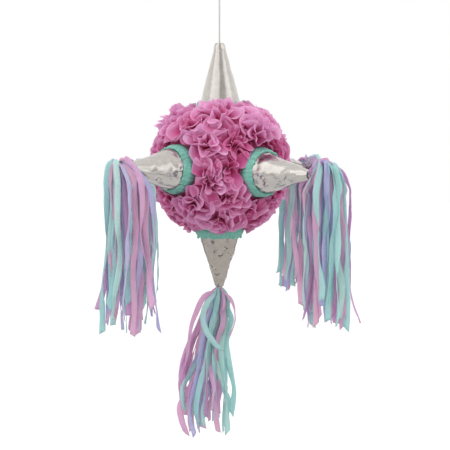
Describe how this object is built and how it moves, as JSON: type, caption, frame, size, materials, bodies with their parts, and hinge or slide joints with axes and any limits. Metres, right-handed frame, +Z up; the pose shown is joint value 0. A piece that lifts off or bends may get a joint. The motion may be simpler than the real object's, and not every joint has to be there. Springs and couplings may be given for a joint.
{
  "type": "pinata",
  "caption": "Star pinata: a hollow paper ball in gathered tissue, with foil-wrapped cones, crepe collars and tassels of tissue strips, hung on a string from a tied loop.",
  "frame": {"origin": "the point where the top of the hanging loop bears on its hook", "axes": "+Z up along the string, -Y towards the front, between the two front cones, +X to the right seen from the front"},
  "size_m": [0.5032, 0.5032, 0.9575],
  "materials": {
    "grey_cord": "matte",
    "papier_mache": "matte",
    "card": "matte",
    "bare_wood": "matte",
    "kraft_tape": "satin",
    "orchid_tissue": "matte",
    "silver_foil": "satin",
    "mint_crepe": "matte",
    "tie_thread": "matte",
    "tassel_tissue": "matte"
  },
  "bodies": {
    "hanger": {"hanging_loop": "grey_cord"},
    "knot": {"loop_knot": "grey_cord"},
    "string": {"hanging_cord": "grey_cord"},
    "pinata": {"ball_shell": "papier_mache", "anchor_dowel": "bare_wood", "anchor_knot": "grey_cord", "flap_tape_upper": "kraft_tape", "ruffle_upper_front": "orchid_tissue", "ruffle_upper_right": "orchid_tissue", "ruffle_upper_back": "orchid_tissue", "ruffle_upper_left": "orchid_tissue", "ruffle_lower_front": "orchid_tissue", "ruffle_lower_right": "orchid_tissue", "ruffle_lower_back": "orchid_tissue", "ruffle_lower_left": "orchid_tissue", "cone_core_top": "card", "cone_core_bottom": "card", "cone_core_front_left": "card", "cone_core_front_right": "card", "cone_core_back_left": "card", "cone_core_back_right": "card", "cone_foil_top": "silver_foil", "cone_foil_bottom": "silver_foil", "cone_foil_front_left": "silver_foil", "cone_foil_front_right": "silver_foil", "cone_foil_back_left": "silver_foil", "cone_foil_back_right": "silver_foil", "collar_top": "mint_crepe", "collar_bottom": "mint_crepe", "collar_front_left": "mint_crepe", "collar_front_right": "mint_crepe", "collar_back_left": "mint_crepe", "collar_back_right": "mint_crepe", "tassel_tie_bottom": "tie_thread", "tassel_tie_front_left": "tie_thread", "tassel_tie_front_right": "tie_thread", "tassel_tie_back_left": "tie_thread", "tassel_tie_back_right": "tie_thread"},
    "flap": {"fill_flap": "papier_mache", "flap_tape_lower": "kraft_tape", "ruffle_flap": "orchid_tissue"},
    "tassel_bottom": {"tassel_bottom": "tassel_tissue"},
    "tassel_front_left": {"tassel_front_left": "tassel_tissue"},
    "tassel_front_right": {"tassel_front_right": "tassel_tissue"},
    "tassel_back_left": {"tassel_back_left": "tassel_tissue"},
    "tassel_back_right": {"tassel_back_right": "tassel_tissue"}
  },
  "joints": [
    {"name": "swing_fore_aft", "type": "hinge", "parent": "hanger", "child": "knot", "pos_m": [0, 0, -0.0363], "axis": [1, 0, 0], "range_deg": [-45, 45]},
    {"name": "swing_sideways", "type": "hinge", "parent": "knot", "child": "string", "pos_m": [0, 0, -0.0363], "axis": [0, 1, 0], "range_deg": [-45, 45]},
    {"name": "spin", "type": "hinge", "parent": "string", "child": "pinata", "pos_m": [0, 0, -0.0363], "axis": [0, 0, 1], "continuous": true},
    {"name": "flap_hinge", "type": "hinge", "parent": "pinata", "child": "flap", "pos_m": [0, 0.07306, -0.30734], "axis": [1, 0, 0], "range_deg": [0, 60]},
    {"name": "tassel_swing_front_left", "type": "hinge", "parent": "pinata", "child": "tassel_front_left", "pos_m": [-0.19632, -0.19632, -0.39103], "axis": [-0.7071, 0.7071, 0], "range_deg": [-20, 45]},
    {"name": "tassel_swing_front_right", "type": "hinge", "parent": "pinata", "child": "tassel_front_right", "pos_m": [0.20716, -0.20716, -0.40448], "axis": [-0.7071, -0.7071, 0], "range_deg": [-20, 45]},
    {"name": "tassel_swing_back_left", "type": "hinge", "parent": "pinata", "child": "tassel_back_left", "pos_m": [-0.19643, 0.19643, -0.4], "axis": [0.7071, 0.7071, 0], "range_deg": [-20, 45]},
    {"name": "tassel_swing_back_right", "type": "hinge", "parent": "pinata", "child": "tassel_back_right", "pos_m": [0.19643, 0.19643, -0.4], "axis": [0.7071, -0.7071, 0], "range_deg": [-20, 45]},
    {"name": "tassel_swing_bottom", "type": "hinge", "parent": "pinata", "child": "tassel_bottom", "pos_m": [0, 0, -0.66], "axis": [1, 0, 0], "range_deg": [-25, 25]}
  ]
}
